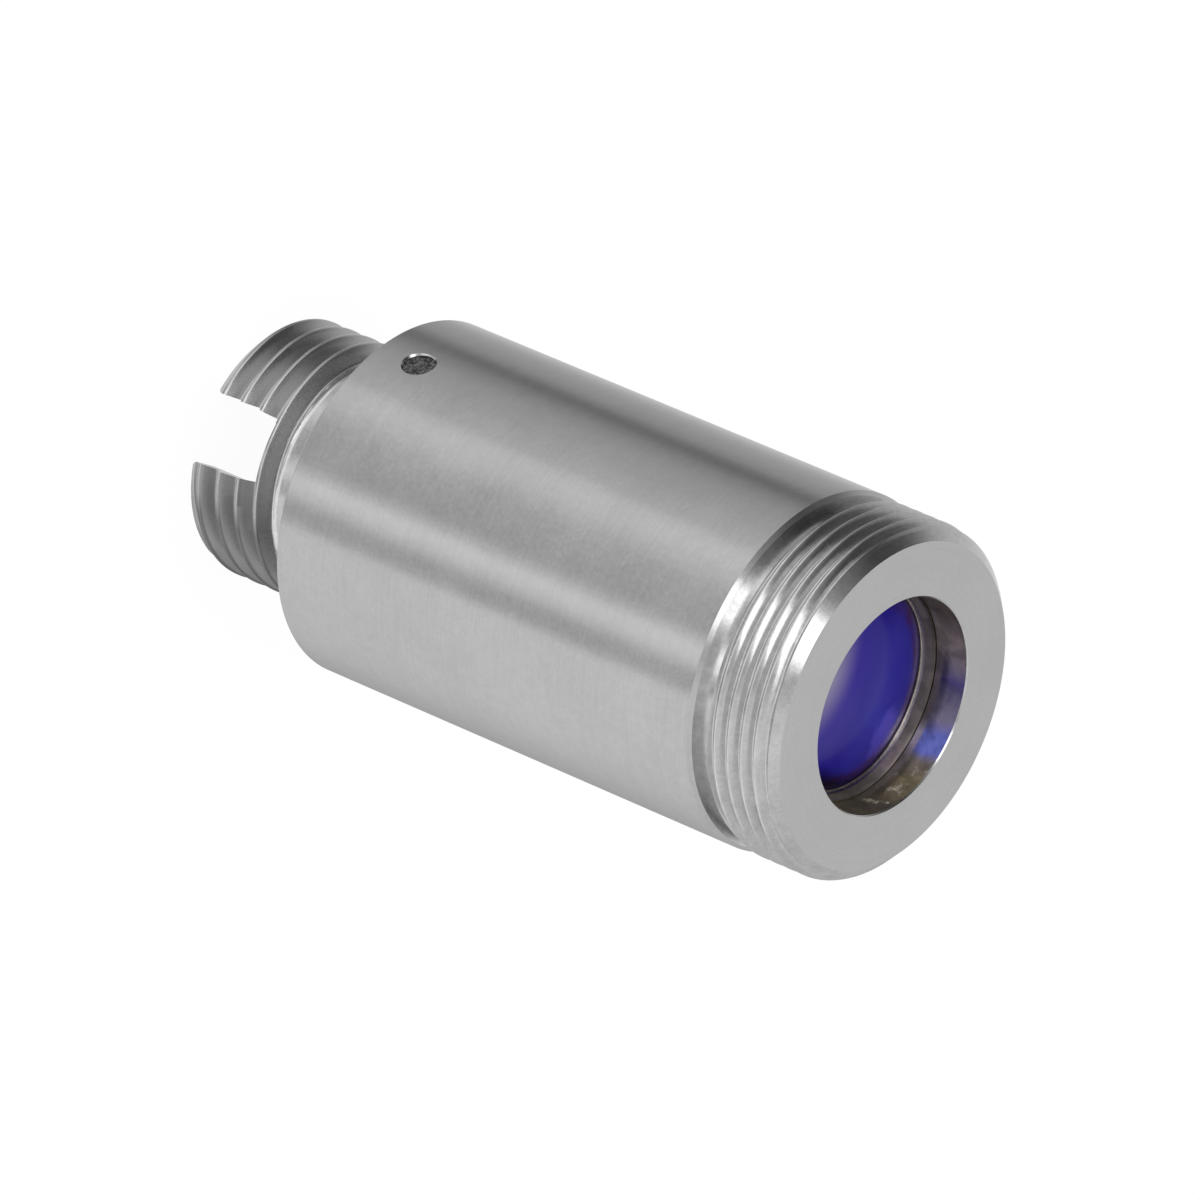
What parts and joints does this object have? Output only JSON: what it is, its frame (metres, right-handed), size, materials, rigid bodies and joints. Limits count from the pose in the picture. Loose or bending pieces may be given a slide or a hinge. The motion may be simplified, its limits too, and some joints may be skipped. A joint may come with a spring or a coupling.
{
  "type": "fibre collimator",
  "caption": "Fixed-focus fibre collimator: a round steel barrel with a coated lens in its threaded nose and a keyed, threaded connector socket at its rear.",
  "frame": {"origin": "on the optical axis, at the open end of the connector socket, which is the end that the part stands on", "axes": "+Z along the optical axis, the way the beam leaves; +X through the middle of the key slot"},
  "size_m": [0.011, 0.011, 0.0238],
  "materials": {
    "barrel_steel": "fine turned satin stainless steel",
    "receptacle_steel": "fine turned satin stainless steel",
    "bushing_bronze": "honed bronze",
    "cell_steel": "turned stainless steel",
    "coated_glass": "polished glass with a blue-violet antireflection coating",
    "clear_adhesive": "cured clear adhesive",
    "black_adhesive": "rough cured black adhesive"
  },
  "bodies": {
    "root": {"housing": "barrel_steel", "fc_receptacle": "receptacle_steel", "ferrule_bushing": "bushing_bronze", "lens_cell": "cell_steel", "aspheric_lens": "coated_glass", "lens_bond": "clear_adhesive", "potting": "black_adhesive"}
  },
  "joints": []
}
